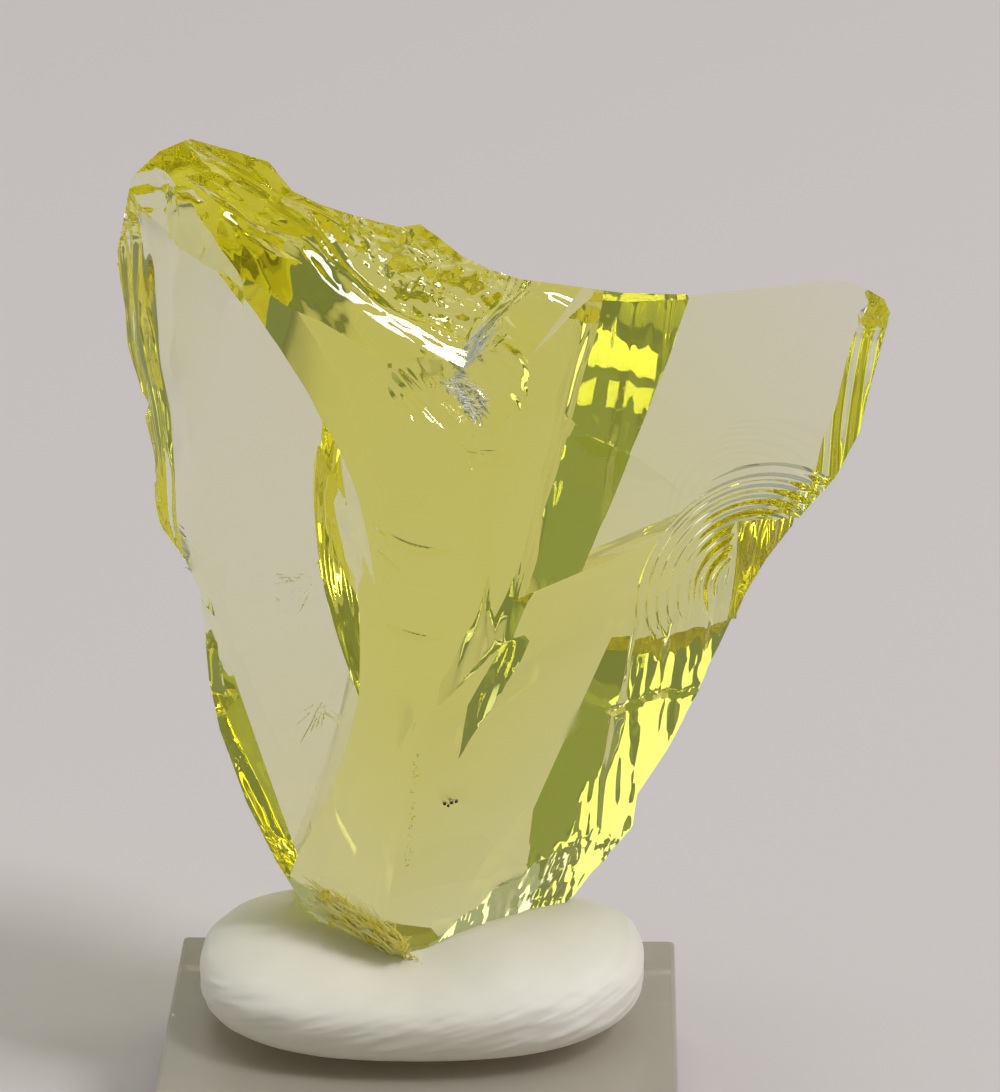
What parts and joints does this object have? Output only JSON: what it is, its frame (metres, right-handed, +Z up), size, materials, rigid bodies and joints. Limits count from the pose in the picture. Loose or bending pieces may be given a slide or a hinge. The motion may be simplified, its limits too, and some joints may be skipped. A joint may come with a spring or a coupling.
{
  "type": "raw andara crystal on a putty and acrylic specimen stand",
  "caption": "Raw chunk of clear yellow-green andara glass with conchoidal breaks, held upright in a lump of white putty on a square clear acrylic plate.",
  "frame": {"origin": "middle of the underside of the square acrylic plate", "axes": "+Z up through the stone, -Y towards the front that the picture shows, +X to the stone's wide corner on the right"},
  "size_m": [0.0468, 0.0406, 0.0609],
  "materials": {
    "andara_glass": "clear yellow-green glass, glossy fresh breaks, frosty at the foot",
    "mineral_putty": "matt off-white putty with faint finger marks",
    "clear_acrylic": "clear polished acrylic"
  },
  "bodies": {
    "root": {"crystal": "andara_glass", "putty_mount": "mineral_putty", "acrylic_base": "clear_acrylic"}
  },
  "joints": []
}
